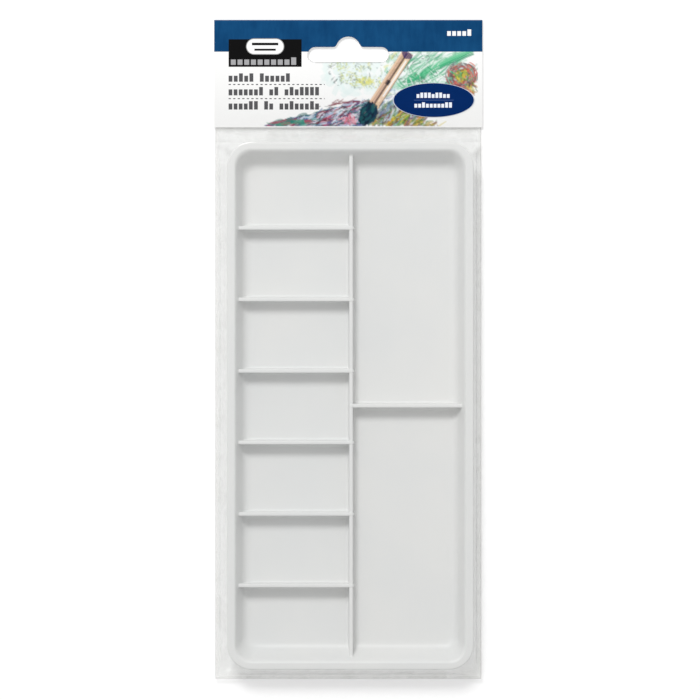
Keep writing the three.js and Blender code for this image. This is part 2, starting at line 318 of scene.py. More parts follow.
def make_floor():
    """A pale floor that gives off a little light, so that shadows on it stay faint."""
    recipe = Recipe("floor")
    shade = recipe.noise(recipe.join(*recipe.position()), 0.01, 2.0)
    colour = recipe.mix(shade, (0.74, 0.74, 0.74), (0.745, 0.745, 0.745))
    glow = {"Emission_Color": (1.0, 1.0, 1.0), "Emission_Strength": FLOOR_GLOW}
    shader = recipe.principled(Base_Color=colour, Roughness=0.9, **glow)
    signs = ((-1, -1), (1, -1), (1, 1), (-1, 1))
    corners = [(x * FLOOR_HALF, y * FLOOR_HALF, FLOOR_HEIGHT) for x, y in signs]
    floor = make_mesh("floor", corners, [(0, 1, 2, 3)], recipe.finish(shader))


# ---- The palette ----

tray_low, tray_high = (np.array(corner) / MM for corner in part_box("palette_tray"))
TRAY_CENTRE = (tray_low + tray_high) / 2
TRAY_HALF = (tray_high - tray_low) / 2
TRAY_TOP = tray_high[2]
TRAY_BASE = tray_low[2]
CORNER_RADIUS = 10.0
RIM_WIDTH = 3.5
WALL = 1.4
FLOOR = TRAY_BASE + WALL
FLOOR_FILLET = 5.0
SIDE_DRAFT = math.radians(20)
END_DRAFT = math.radians(28)
FLOOR_CORNER_RADIUS = 5.0
EDGE_ROUND = 0.35
RIM_ROUND = 2.0
INNER_HALF = TRAY_HALF[:2] - RIM_WIDTH
INNER_RADIUS = CORNER_RADIUS - RIM_WIDTH

RIB_TOP = TRAY_TOP - 2.8
RIB_TOP_HALF = 0.72
RIB_BASE_HALF = 0.84
RIB_FILLET = 1.7
RIB_EDGE_ROUND = 0.28
RIB_POKE = 0.5
RIB_BLEND = 0.5
WALL_BLEND = 0.9
LONG_RIB_X = 1.1
SMALL_WELLS = 7
SMALL_WELL_PITCH = 28.72
SMALL_RIB_MIDDLE_Y = -23.1
LARGE_RIB_Y = -22.7
SMALL_RIBS_Y = [
    SMALL_RIB_MIDDLE_Y + (SMALL_WELLS / 2 - rib) * SMALL_WELL_PITCH
    for rib in range(1, SMALL_WELLS)
]


def wall_inset(height, draft, offset=0.0):
    """How far a wall has come in from the rim's inner edge at a height above the surface."""
    radius = FLOOR_FILLET + offset
    floor = FLOOR - offset
    turn = math.pi / 2 - draft
    run = (TRAY_TOP - FLOOR) * math.tan(draft) + FLOOR_FILLET * math.tan(turn / 2)
    tangent_height = floor + radius * (1 - math.cos(turn))
    drop = np.clip(radius - (height - floor), 0, radius)
    on_fillet = run - np.sqrt(radius**2 - drop**2)
    tangent_inset = run - radius * math.sin(turn)
    on_wall = tangent_inset - (height - tangent_height) * math.tan(draft)
    return np.where(height < tangent_height, on_fillet, on_wall)


def ring_size(height, offset=0.0):
    """The half length, half width and corner radius of the wall's outline at a height."""
    depth = np.clip((TRAY_TOP - height) / (TRAY_TOP - FLOOR), 0, 1)
    radius = INNER_RADIUS + (FLOOR_CORNER_RADIUS - INNER_RADIUS) * depth + offset
    half_x = INNER_HALF[0] - wall_inset(height, SIDE_DRAFT, offset)
    half_y = INNER_HALF[1] - wall_inset(height, END_DRAFT, offset)
    return half_x, half_y, radius


def outside_of_outline(x, y, half_x, half_y, radius):
    """How far a point lies outside a rounded rectangle, below 0 inside it."""
    over_x = np.abs(x) - half_x + radius
    over_y = np.abs(y) - half_y + radius
    beyond = np.hypot(np.maximum(over_x, 0), np.maximum(over_y, 0))
    return beyond + np.minimum(np.maximum(over_x, over_y), 0) - radius


def wall_height(x, y):
    """The height of the palette's wall or floor, found by halving the interval."""
    low = np.full(x.shape, FLOOR)
    high = np.full(x.shape, TRAY_TOP + 2.0)
    for _ in range(26):
        middle = (low + high) / 2
        outside = outside_of_outline(x, y, *ring_size(middle)) > 0
        low = np.where(outside, middle, low)
        high = np.where(outside, high, middle)
    return (low + high) / 2


def rib_profile():
    """A rib's half width and height, from the middle of its top down to the floor."""
    edge = np.radians(np.linspace(0, 90, 5))
    fillet = np.radians(np.linspace(90, 0, 10))
    across = [[0.0], RIB_TOP_HALF - RIB_EDGE_ROUND * (1 - np.sin(edge))]
    heights = [[RIB_TOP], RIB_TOP - RIB_EDGE_ROUND * (1 - np.cos(edge))]
    across.append(RIB_BASE_HALF + RIB_FILLET * (1 - np.sin(fillet)))
    heights.append(FLOOR + RIB_FILLET * (1 - np.cos(fillet)))
    return np.concatenate(across), np.concatenate(heights)


RIB_ACROSS, RIB_HEIGHTS = rib_profile()


def rib_height(x, y, start, end):
    """The height of a rib with round ends that runs from start to end."""
    along_x = np.maximum(np.maximum(start[0] - x, x - end[0]), 0)
    along_y = np.maximum(np.maximum(start[1] - y, y - end[1]), 0)
    return np.interp(np.hypot(along_x, along_y), RIB_ACROSS, RIB_HEIGHTS)


def soft_max(first, second, reach):
    share = np.clip(0.5 + 0.5 * (first - second) / reach, 0, 1)
    return second + (first - second) * share + reach * share * (1 - share)


def soft_min(first, second, reach):
    return -soft_max(-first, -second, reach)


def palette_surface(x, y):
    """The height of the palette's upper face at x and y from the pack's middle."""
    local_x = x - TRAY_CENTRE[0]
    local_y = y - TRAY_CENTRE[1]
    wall = wall_height(local_x, local_y)
    far_left = TRAY_CENTRE[0] - TRAY_HALF[0]
    far_right = TRAY_CENTRE[0] + TRAY_HALF[0]
    low_end = (LONG_RIB_X, TRAY_CENTRE[1] - TRAY_HALF[1])
    high_end = (LONG_RIB_X, TRAY_CENTRE[1] + TRAY_HALF[1])
    ribs = rib_height(x, y, low_end, high_end)
    for rib_y in SMALL_RIBS_Y:
        small = rib_height(x, y, (far_left, rib_y), (LONG_RIB_X + RIB_POKE, rib_y))
        ribs = soft_max(ribs, small, RIB_BLEND)
    large = rib_height(x, y, (LONG_RIB_X, LARGE_RIB_Y), (far_right, LARGE_RIB_Y))
    ribs = soft_max(ribs, large, RIB_BLEND)
    on_rib = ribs > FLOOR + 1e-6
    surface = np.where(on_rib, soft_max(wall, ribs, WALL_BLEND), wall)
    return soft_min(surface, np.full(x.shape, TRAY_TOP), RIM_ROUND)


# The grid's longest steps on the rim, on its inner edge, on the wall and on the floor.
RIM_STEPS = (0.7, 0.16, 0.42)
FLOOR_STEP = 2.4
RIM_REACH = 1.4
PAST_WALL = 0.4


def rib_lines(centre):
    return np.concatenate([centre - RIB_ACROSS, centre + RIB_ACROSS])


def palette_lines(axis, rib_centres):
    """Grid lines across the palette: close together on rims, walls and ribs, wide on floors."""
    low = TRAY_CENTRE[axis] - TRAY_HALF[axis] + EDGE_ROUND
    high = TRAY_CENTRE[axis] + TRAY_HALF[axis] - EDGE_ROUND
    draft = SIDE_DRAFT if axis == 0 else END_DRAFT
    wall_run = float(wall_inset(np.array(FLOOR), draft))
    rim_edge = RIM_WIDTH - EDGE_ROUND
    wall_end = rim_edge + wall_run + PAST_WALL
    stretches = []
    for edge, inward in ((low, 1), (high, -1)):
        steps = [0, rim_edge - RIM_REACH, rim_edge + RIM_REACH, wall_end]
        for start, stop, step in zip(steps, steps[1:], RIM_STEPS):
            ends = sorted((edge + inward * start, edge + inward * stop))
            stretches.append((*ends, step))
    stops = [low + wall_end]
    for centre in sorted(rib_centres):
        stops += [centre - RIB_ACROSS[-1], centre + RIB_ACROSS[-1]]
    stops.append(high - wall_end)
    for start, stop in zip(stops[::2], stops[1::2]):
        stretches.append((start, stop, FLOOR_STEP))
    places = [lines(*stretches)]
    places += [rib_lines(centre) for centre in rib_centres]
    return np.unique(np.round(np.concatenate(places), 4))


def round_corners(x, y, half, radius):
    """Bends the square corners of a grid into quarter circles, ring by ring."""
    in_x = np.abs(x) - (half[0] - radius)
    in_y = np.abs(y) - (half[1] - radius)
    corner = (in_x > 0) & (in_y > 0)
    length = np.hypot(in_x, in_y)
    safe = np.where(corner, length, 1.0)
    squeeze = np.where(corner, np.maximum(in_x, in_y) / safe, 1.0)
    bent_x = np.where(corner, np.sign(x) * (half[0] - radius + in_x * squeeze), x)
    bent_y = np.where(corner, np.sign(y) * (half[1] - radius + in_y * squeeze), y)
    return bent_x, bent_y


def edge_ring(x, y, half, radius, new_half, new_radius, height):
    """Moves the points of a rounded outline onto another outline of the same kind."""
    inner = half - radius
    share_x = np.clip(x / inner[0], -1, 1)
    share_y = np.clip(y / inner[1], -1, 1)
    normal_x = (x - share_x * inner[0]) / radius
    normal_y = (y - share_y * inner[1]) / radius
    ring_x = share_x * (new_half[0] - new_radius) + normal_x * new_radius
    ring_y = share_y * (new_half[1] - new_radius) + normal_y * new_radius
    centre_x, centre_y = TRAY_CENTRE[0], TRAY_CENTRE[1]
    return np.stack([ring_x + centre_x, ring_y + centre_y, np.full(x.shape, height)], 1)


def palette_under_rings():
    """The outlines below the rim's upper edge: down its outside, under it and down the walls."""
    rings = []
    for angle in np.radians((30, 60, 90)):
        grown = EDGE_ROUND * math.sin(angle)
        height = TRAY_TOP - EDGE_ROUND * (1 - math.cos(angle))
        rings.append((TRAY_HALF - EDGE_ROUND + grown, CORNER_RADIUS - EDGE_ROUND + grown, height))
    rings.append((TRAY_HALF, CORNER_RADIUS, TRAY_TOP - WALL + 0.2))
    rings.append((TRAY_HALF - 0.2, CORNER_RADIUS - 0.2, TRAY_TOP - WALL))
    wall_top = TRAY_TOP - WALL
    fillet_heights = [
        FLOOR - WALL + (FLOOR_FILLET + WALL) * (1 - math.cos(math.radians(angle)))
        for angle in (62, 50, 40, 30, 20, 10, 0)
    ]
    for height in [wall_top, *fillet_heights]:
        half_x, half_y, radius = ring_size(np.array(height), WALL)
        half = np.array([half_x, half_y])
        rings.append((half, float(radius), height))
    return rings


def make_palette(material):
    xs = palette_lines(0, [LONG_RIB_X])
    ys = palette_lines(1, [*SMALL_RIBS_Y, LARGE_RIB_Y])
    x, y = (values.ravel() for values in np.meshgrid(xs, ys))
    half = TRAY_HALF[:2] - EDGE_ROUND
    radius = CORNER_RADIUS - EDGE_ROUND
    x, y = round_corners(x - TRAY_CENTRE[0], y - TRAY_CENTRE[1], half, radius)
    top = palette_surface(x + TRAY_CENTRE[0], y + TRAY_CENTRE[1])
    points = [np.stack([x + TRAY_CENTRE[0], y + TRAY_CENTRE[1], top], 1)]
    faces = grid_faces(len(xs), len(ys)).tolist()
    loop = grid_loop(len(xs), len(ys))
    edge_x, edge_y = x[loop], y[loop]
    count = len(x)
    for new_half, new_radius, height in palette_under_rings():
        points.append(edge_ring(edge_x, edge_y, half, radius, new_half[:2], new_radius, height))
        lower = list(range(count, count + len(loop)))
        faces += strip_faces(loop, lower)
        loop = lower
        count += len(loop)
    faces.append(loop[::-1])
    piece = make_mesh("palette", np.concatenate(points), faces, material)
    piece.data.polygons[len(faces) - 1].use_smooth = False
    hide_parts("palette_tray")
    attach(piece, "palette")


def palette_plastic():
    """Satin white moulded plastic: faint flow marks, a fine moulded skin and a few scuffs."""
    recipe = Recipe("palette_plastic")
    x, y, z = recipe.position()
    place = recipe.join(x, y, z)
    flow = recipe.noise(recipe.join(x * 0.35, y * 0.08, z), 0.12, 2.0)
    cloud = recipe.noise(place, 0.035, 3.0)
    shade = flow.ramp(0.3, 0.7) * 0.4 + cloud.ramp(0.3, 0.7) * 0.6
    colour = recipe.mix(shade, srgb(224, 225, 225), srgb(228, 228, 227))
    skin = recipe.noise(place, 3.2, 4.0, 0.6)
    scuffs = recipe.noise(recipe.join(x * 0.9, y * 0.12, z), 0.5, 5.0, 0.7).ramp(0.58, 0.75)
    roughness = skin * 0.14 + 0.34 + scuffs * 0.12
    bump = recipe.bump(skin * 0.7 + flow * 0.3, 0.12, 0.05 * MM)
    shader = recipe.principled(Base_Color=colour, Roughness=roughness, Normal=bump)
    return recipe.finish(shader)


# ---- The bag ----

pouch_low, pouch_high = (np.array(corner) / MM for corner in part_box("bag_front_film"))
card_low, card_high = (np.array(corner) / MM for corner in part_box("header_card"))
tab_high = np.array(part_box("bag_tab_front")[1]) / MM
back_tab_high = np.array(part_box("bag_tab_back")[1]) / MM
BAG_HALF = pouch_high[0]
BAG_FOOT = pouch_low[1]
BAG_MOUTH = pouch_high[1] + 0.14
SEAM_HEIGHT = pouch_low[2] - 0.6
FILM = 0.05
FILM_OVER_TRAY = TRAY_TOP + 0.12
WELD = 1.1
CUT_EDGE = 0.35


def outside_of_tray(x, y):
    """How far a point lies outside the palette's outline, seen from above."""
    local_x, local_y = x - TRAY_CENTRE[0], y - TRAY_CENTRE[1]
    return outside_of_outline(local_x, local_y, *TRAY_HALF[:2], CORNER_RADIUS)


def to_bag_edge(x, y):
    """How far a point lies inside the weld at the bag's sides and foot."""
    return np.minimum(BAG_HALF - np.abs(x), y - BAG_FOOT) - WELD


def ripple(x, y, size_x, size_y, seed):
    """Smooth noise from -1 to 1, with waves about size_x by size_y millimetres."""
    places = zip(x / size_x, y / size_y)
    return np.array([noise.noise(Vector((a, b, seed))) for a, b in places])


def ease(share):
    share = np.clip(share, 0, 1)
    return share * share * (3 - 2 * share)


def fall(share):
    """From 0 to 1 along an almost straight slope with gently rounded ends."""
    share = np.clip(share, 0, 1)
    return 0.75 * share + 0.25 * ease(share)


def front_film_top(x, y):
    """The film lies on the rim, dips a little over the wells and falls to the welds."""
    out = np.maximum(outside_of_tray(x, y), 0)
    room = np.maximum(to_bag_edge(x, y), 0)
    share = out / np.maximum(out + room, 1e-6)
    height = FILM_OVER_TRAY + (SEAM_HEIGHT - FILM_OVER_TRAY) * fall(share)
    slack = np.sin(np.pi * np.clip(share, 0, 1))
    folds = ripple(x, y, 8, 16, 1.3) * 0.8 + ripple(x, y, 3.5, 7, 4.1) * 0.2
    inside = ease(-outside_of_tray(x, y) / 12)
    sag = inside * (ripple(x, y, 26, 38, 8.7) - 0.4) * 0.35
    return height + folds * slack * 0.55 + sag


def back_film_top(x, y):
    """The film lies flat under the palette and turns up to the welds at its edges."""
    room = np.maximum(to_bag_edge(x, y), 0)
    rise = ease(1 - room / 9)
    folds = ripple(x, y, 6, 8, 2.2) * np.sin(np.pi * rise) * 0.25
    return 0.1 + FILM + (SEAM_HEIGHT - FILM - 0.2) * rise**1.5 + np.maximum(folds, 0)


def bag_lines_x():
    edge = BAG_HALF - 11
    return lines(
        (-BAG_HALF, -edge, 0.55),
        (-edge, edge, 3.0),
        (edge, BAG_HALF, 0.55),
    )


def make_pouch(material):
    xs = bag_lines_x()
    ys = lines(
        (BAG_FOOT, BAG_FOOT + 12, 0.55),
        (BAG_FOOT + 12, BAG_MOUTH - 3, 1.4),
        (BAG_MOUTH - 3, BAG_MOUTH, 0.5),
    )
    front = slab("film_front", xs, ys, front_film_top, FILM, material)
    back = slab("film_back", xs, ys, back_film_top, FILM, material)
    for piece, node in ((front, "bag_front_film"), (back, "bag_back_film")):
        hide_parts(node)
        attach(piece, "pouch")


def make_neck(material):
    """The bag between the palette and the card, and its top inside the card."""
    half = BAG_HALF
    card_foot = card_low[1]
    tray_end = TRAY_CENTRE[1] + TRAY_HALF[1]
    inside_card = tab_high[2]
    drop_end = card_foot - 0.8

    def front_top(x, y):
        corner = outside_of_tray(x, np.full(x.shape, tray_end - CORNER_RADIUS / 2))
        share = fall((y - tray_end - 0.3) / (drop_end - tray_end - 0.3))
        side = ease(corner / 4)
        height = FILM_OVER_TRAY + (inside_card - FILM_OVER_TRAY) * np.maximum(share, side * 0.75)
        folds = ripple(x, y, 16, 30, 3.7) * 0.5 * np.sin(np.pi * share)
        return np.maximum(height + folds, inside_card)

    def back_top(x, y):
        rise = ease((y - card_foot + 2.0) / 1.6)
        return 0.1 + FILM + (back_tab_high[2] - 0.1 - FILM) * rise

    xs = lines((-half, half, 1.0))
    ys = lines((BAG_MOUTH, card_foot + 0.6, 0.3), (card_foot + 0.6, tab_high[1], 6))
    front = slab("neck_film_front", xs, ys, front_top, FILM, material)
    back = slab("neck_film_back", xs, ys, back_top, FILM, material)
    for piece, nodes in (
        (front, ("bag_neck_front", "bag_tab_front")),
        (back, ("bag_neck_back", "bag_tab_back")),
    ):
        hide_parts(*nodes)
        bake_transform(piece)


def clear_film():
    """Thin glossy film: it darkens what is behind it a little, and is milky at its welds and in blotches
    beside the palette, which are milkiness and painted highlights at once.
    """
    recipe = Recipe("clear_film")
    x, y, z = recipe.position()
    place = recipe.join(x, y, z)
    beside = (x - TRAY_CENTRE[0]).absolute() - TRAY_HALF[0]
    beyond = (y - TRAY_CENTRE[1]).absolute() - TRAY_HALF[1]
    margin = beside.larger(beyond).ramp(-1.0, 1.0)
    to_edge = (BAG_HALF - x.absolute()).smaller(y - BAG_FOOT)
    weld = to_edge.below(WELD)
    cut_edge = to_edge.below(CUT_EDGE)
    # Milky blotches beside the palette: partly the film's own milkiness, partly painted highlights standing
    # in for bright reflections.
    haze_and_highlight_patches = recipe.noise(place, 0.14, 1.0, 0.5, 0.4).ramp(0.42, 0.7)
    streaks = recipe.noise(recipe.join(x, y * 0.12, z), 0.3, 1.0).ramp(0.5, 0.75)
    milkiness_and_highlights = margin * haze_and_highlight_patches * 0.06 + streaks * 0.003 + 0.003 + weld * 0.05
    bump = recipe.bump(recipe.noise(place, 0.2, 1.0, 0.5), 0.2, 0.4 * MM)
    tint = recipe.mix(cut_edge, (0.984, 0.985, 0.983), (0.94, 0.94, 0.94))
    clear = recipe.add("BsdfTransparent", None, {"Color": tint})
    milky_highlight_white = recipe.add("BsdfDiffuse", None, {"Color": (0.93, 0.93, 0.90)})
    gloss = recipe.add("BsdfGlossy", None, {"Roughness": 0.12, "Normal": bump})
    facing = recipe.add("LayerWeight", None, {"Normal": bump}).outputs["Facing"]
    taut = y.above(BAG_MOUTH) * 0.7
    shine = Wire(recipe, facing).power(4.0) * 0.5 * (1.0 - taut) + 0.008
    body = recipe.add("MixShader", None, [milkiness_and_highlights])
    recipe.tree.links.new(clear.outputs[0], body.inputs[1])
    recipe.tree.links.new(milky_highlight_white.outputs[0], body.inputs[2])
    whole = recipe.add("MixShader", None, [shine])
    recipe.tree.links.new(body.outputs[0], whole.inputs[1])
    recipe.tree.links.new(gloss.outputs[0], whole.inputs[2])
    return recipe.finish(whole.outputs[0])


# ---- The header card ----

CARD = 0.35
CARD_HALF = card_high[0]
CARD_FOOT = card_low[1]
CARD_TOP = card_high[1]
CARD_FRONT = card_high[2]
BAND_FOOT = CARD_TOP - 12.8
ART_LEFT = -38.0
ART_RIGHT = 52.2
ART_STEP = 0.34
FOLD_STEPS = 12
EURO_WIDTH = 32.6
EURO_HEIGHT = 6.1
EURO_FOOT = CARD_TOP - 17.0
EURO_BUMP = 5.0
EURO_BUMP_TOP = 10.3
EURO_FILLET = 1.0
ARC_STEPS = 14
# How much the painted shadow along the slot's cut edge darkens the card, and how wide it is.
SLOT_EDGE_PAINTED_SHADOW = 0.6
SLOT_EDGE = 0.3


def arc(centre, radius, start, end):
    angles = np.linspace(start, end, ARC_STEPS)
    return [(centre[0] + radius * math.cos(a), centre[1] + radius * math.sin(a)) for a in angles]


def euro_slot_outline():
    """The hanging hole: a long round-ended slot with a bump in the middle of its top."""
    end = EURO_HEIGHT / 2
    half = EURO_WIDTH / 2 - end
    middle = EURO_FOOT + end
    shoulder = EURO_FOOT + EURO_HEIGHT
    bump_centre = EURO_FOOT + EURO_BUMP_TOP - EURO_BUMP
    start = math.asin((shoulder + EURO_FILLET - bump_centre) / EURO_BUMP)
    corner = EURO_BUMP * math.cos(math.asin((shoulder - bump_centre) / EURO_BUMP))
    outline = arc((half, middle), end, -math.pi / 2, math.pi / 2)
    outline.append((corner + EURO_FILLET, shoulder))
    outline.append((corner + EURO_FILLET * 0.3, shoulder + EURO_FILLET * 0.2))
    outline += arc((0, bump_centre), EURO_BUMP, start, math.pi - start)
    outline.append((-corner - EURO_FILLET * 0.3, shoulder + EURO_FILLET * 0.2))
    outline.append((-corner - EURO_FILLET, shoulder))
    outline += arc((-half, middle), end, math.pi / 2, math.pi * 3 / 2)
    return outline


def euro_slot_cutter():
    outline = euro_slot_outline()
    count = len(outline)
    points = [(x, y, -1.0) for x, y in outline] + [(x, y, CARD_FRONT + 1) for x, y in outline]
    lower = list(range(count))
    upper = [vertex + count for vertex in lower]
    faces = [lower[::-1], upper] + strip_faces(upper, lower)
    return make_mesh("slot_cutter", points, faces, None, smooth=False)


def folded_section():
    """The card's closed section in y and z: its outside from back to front, then its inside."""
    outer = CARD_FRONT / 2
    fold = CARD_TOP - outer
    turns = np.radians(np.linspace(-90, 90, FOLD_STEPS + 1))
    rows = lines((CARD_FOOT, BAND_FOOT, ART_STEP), (BAND_FOOT, fold, 1.6))
    section = [(CARD_FOOT, 0.0)]
    section += [(fold + outer * math.cos(turn), outer + outer * math.sin(turn)) for turn in turns]
    section += [(y, CARD_FRONT) for y in rows[-2::-1]]
    inner = outer - CARD
    section.append((CARD_FOOT, CARD_FRONT - CARD))
    for turn in turns[::-1]:
        section.append((fold + inner * math.cos(turn), outer + inner * math.sin(turn)))
    section.append((CARD_FOOT, CARD))
    return section


def folded_card(material):
    section = folded_section()
    columns = lines((-CARD_HALF, ART_LEFT, 2.4), (ART_LEFT, CARD_HALF, ART_STEP))
    size = len(section)
    points = [(x, y, z) for x in columns for y, z in section]
    faces = []
    for column in range(len(columns) - 1):
        near = list(range(column * size, (column + 1) * size))
        far = [vertex + size for vertex in near]
        faces += strip_faces(near, far)
    faces.append(list(range(size)))
    last = (len(columns) - 1) * size
    faces.append(list(range(last + size - 1, last - 1, -1)))
    return make_mesh("header_print", points, faces, material, smooth=False)


def cut(piece, cutter):
    modifier = piece.modifiers.new("cut", "BOOLEAN")
    modifier.object = cutter
    modifier.operation = "DIFFERENCE"
    modifier.solver = "EXACT"
    graph = bpy.context.evaluated_depsgraph_get()
    piece.data = bpy.data.meshes.new_from_object(piece.evaluated_get(graph))
    piece.modifiers.clear()
    bpy.data.objects.remove(cutter)


# ---- The painting on the card ----

def shades(*levels):
    return [srgb(*level) for level in levels]


WHITE = srgb(252, 252, 251)
MINT = shades((232, 247, 244), (222, 240, 238), (240, 250, 248))
SPECKS = shades((120, 140, 140), (170, 190, 188), (96, 120, 112), (252, 253, 252))
LEAF = shades((70, 184, 128), (112, 204, 156), (44, 156, 112), (240, 248, 244))
POLLEN = shades((226, 224, 120), (190, 205, 110), (150, 165, 150), (215, 225, 200))
BERRY = shades((200, 80, 84), (150, 104, 98), (186, 150, 140), (120, 90, 96), (214, 110, 84))
MEADOW = shades((120, 168, 84), (222, 204, 70), (90, 130, 66), (150, 110, 110), (205, 150, 70))
TIDE = shades((40, 120, 118), (64, 92, 158), (168, 196, 222), (226, 234, 242), (96, 130, 170))
DARKS = shades((44, 72, 70), (92, 48, 60), (40, 44, 84), (72, 84, 50))
SEA = shades((76, 158, 128), (48, 124, 116), (176, 70, 96))
ROSE = shades((214, 84, 116), (132, 42, 62), (234, 178, 190), (168, 60, 96))
TAN = srgb(205, 158, 124)
PEACH = srgb(244, 208, 172)
BROWN = srgb(74, 40, 30)
INK_TEAL = shades((14, 62, 78), (20, 42, 72), (34, 92, 98), (12, 30, 48))
VIOLET = srgb(56, 34, 98)
THIN = (0.5, 0.1)


class Painting:
    """Brush strokes laid over each other on the card's front face."""

    def __init__(self, x, y):
        self.x = x
        self.y = y
        self.colour = np.tile(np.array(WHITE), (len(x), 1))

    def lay(self, inside, cover, colour):
        cover = np.clip(cover, 0, 1)[:, None]
        self.colour[inside] += (np.array(colour) - self.colour[inside]) * cover

    def stroke(self, start, end, width, colour, bend=0.0, strength=1.0, taper=0.5):
        """A curved stroke with a bristly edge. bend is how far its middle is pushed sideways."""
        start, end = np.array(start), np.array(end)
        along = end - start
        length = max(float(np.hypot(*along)), 0.01)
        along = along / length
        reach = width + abs(bend)
        low = np.minimum(start, end) - reach
        high = np.maximum(start, end) + reach
        near = (self.x > low[0]) & (self.x < high[0]) & (self.y > low[1]) & (self.y < high[1])
        inside = np.flatnonzero(near & (self.x < ART_RIGHT))
        dx, dy = self.x[inside] - start[0], self.y[inside] - start[1]
        run = (dx * along[0] + dy * along[1]) / length
        middle = bend * 4 * run * (1 - run)
        side = dy * along[0] - dx * along[1] - middle
        half = width / 2 * (1 - taper * np.clip(np.abs(run - 0.4) * 1.6, 0, 1) ** 2)
        edge = np.clip((half - np.abs(side)) / 0.22 + 0.5, 0, 1)
        ends = np.clip(np.minimum(run, 1 - run) * length / 0.4 + 0.5, 0, 1)
        bristles = 0.82 + 0.18 * np.sin(side * 9 + length * 7)
        self.lay(inside, edge * ends * bristles * strength, colour)

    def scatter(self, count, place, angle, length, width, colours, strength=0.9):
        """Many strokes. place() gives each one's middle.

        angle (in degrees), length and width (in millimetres) are each a mean and a spread.
        """
        for _ in range(count):
            x, y = place()
            turn = math.radians(random_numbers.gauss(*angle))
            size = max(0.5, random_numbers.gauss(*length))
            step = (math.cos(turn) * size / 2, math.sin(turn) * size / 2)
            thick = max(0.3, random_numbers.gauss(*width))
            bend = random_numbers.uniform(-0.12, 0.12) * size
            colour = random_numbers.choice(colours)
            cover = strength * random_numbers.uniform(0.6, 1.0)
            start, end = (x - step[0], y - step[1]), (x + step[0], y + step[1])
            self.stroke(start, end, thick, colour, bend, cover)


def in_box(low, high):
    return lambda: (random_numbers.uniform(low[0], high[0]), random_numbers.uniform(low[1], high[1]))


def in_oval(centre, half):
    def place():
        turn = random_numbers.uniform(0, 2 * math.pi)
        share = math.sqrt(random_numbers.uniform(0, 1))
        return (
            centre[0] + half[0] * share * math.cos(turn),
            centre[1] + half[1] * share * math.sin(turn),
        )

    return place


def under_slope(low, high):
    """Places under the line from low to high, more of them near the high end."""

    def place():
        share = math.sqrt(random_numbers.uniform(0, 1))
        x = low[0] + (high[0] - low[0]) * share
        top = low[1] + (high[1] - low[1]) * share
        return (x, random_numbers.uniform(low[1], top))

    return place


def paint_wash(painting):
    """A pale wash in the middle, with clusters of yellow dabs and dark specks."""
    foot = CARD_FOOT
    painting.scatter(90, in_oval((4.5, foot + 21.5), (14.5, 7.5)), (20, 50), (6, 2), (2.4, 0.6), MINT, 0.6)
    for x, height in ((-3.5, 24.5), (0.5, 20.0), (4.5, 18.4), (9.5, 18.4), (6.0, 25.0)):
        centre = (x, foot + height)
        painting.scatter(50, in_oval(centre, (4.0, 2.6)), (60, 60), (1.1, 0.5), (0.45, 0.1), POLLEN, 0.8)
    painting.scatter(26, in_oval((6.5, foot + 18.6), (4.0, 1.2)), (0, 40), (1.6, 0.5), (0.7, 0.2), POLLEN[:1])
    corner = in_box((13, foot + 22), (21, foot + 30))
    painting.scatter(40, corner, (60, 40), (2, 0.7), (0.6, 0.2), POLLEN + LEAF)
    painting.scatter(90, in_oval((4.5, foot + 22), (14, 7)), (50, 60), (0.9, 0.3), (0.4, 0.1), SPECKS, 0.7)


def paint_leaves(painting):
    """Green leaves rising to the upper right, with three long strokes through them."""
    foot = CARD_FOOT
    place = in_box((18, foot + 15), (49, foot + 30))
    painting.scatter(190, place, (32, 16), (7, 3), (1.1, 0.4), MINT + LEAF, 0.6)
    painting.scatter(60, place, (40, 40), (1.6, 0.6), THIN, SPECKS, 0.8)
    for offset, colour in ((-0.9, LEAF[2]), (0.2, LEAF[0]), (1.1, LEAF[1])):
        start, end = (23.5, foot + 17.6 + offset), (50.5, foot + 30.6 + offset)
        painting.stroke(start, end, 1.8, colour, 0.8, 0.95)
    painting.scatter(90, in_box((22, foot + 16), (46, foot + 28)), (34, 10), (6, 2), THIN, LEAF, 0.9)
    painting.scatter(50, in_box((20, foot + 14), (36, foot + 25)), (118, 18), (4, 1), THIN, LEAF, 0.8)


def paint_scribble(painting):
    """Round and round, with a green middle and a loose end at the lower right."""
    centre = (45.6, CARD_FOOT + 20.8)
    painting.scatter(70, in_oval(centre, (5.2, 4.4)), (60, 60), (2.6, 0.7), (1.5, 0.3), BERRY, 0.8)
    for _ in range(380):
        middle = in_oval(centre, (1.5, 1.3))()
        radius = random_numbers.uniform(1.6, 5.6)
        turn = random_numbers.uniform(0, 2 * math.pi)
        sweep = random_numbers.uniform(0.4, 0.9)
        ends = [
            (middle[0] + radius * math.cos(a), middle[1] + 0.9 * radius * math.sin(a))
            for a in (turn, turn + sweep)
        ]
        bend = -radius * (1 - math.cos(sweep / 2))
        painting.stroke(*ends, 0.6, random_numbers.choice(BERRY + SPECKS[:2]), bend, 0.85)
    middle_greens = MEADOW[:2] + MEADOW[:1]
    painting.scatter(60, in_oval(centre, (2.6, 2.2)), (70, 50), (2, 0.6), (0.6, 0.1), middle_greens, 0.8)
    painting.scatter(26, in_oval(centre, (6, 5)), (120, 50), (1.6, 0.5), THIN, LEAF + BERRY[:1], 0.9)
    loose = (centre[0] + 4.2, centre[1] - 4.6)
    painting.scatter(36, in_oval(loose, (2.6, 2.4)), (130, 30), (2.4, 0.8), (0.6, 0.1), BERRY + MEADOW, 0.8)


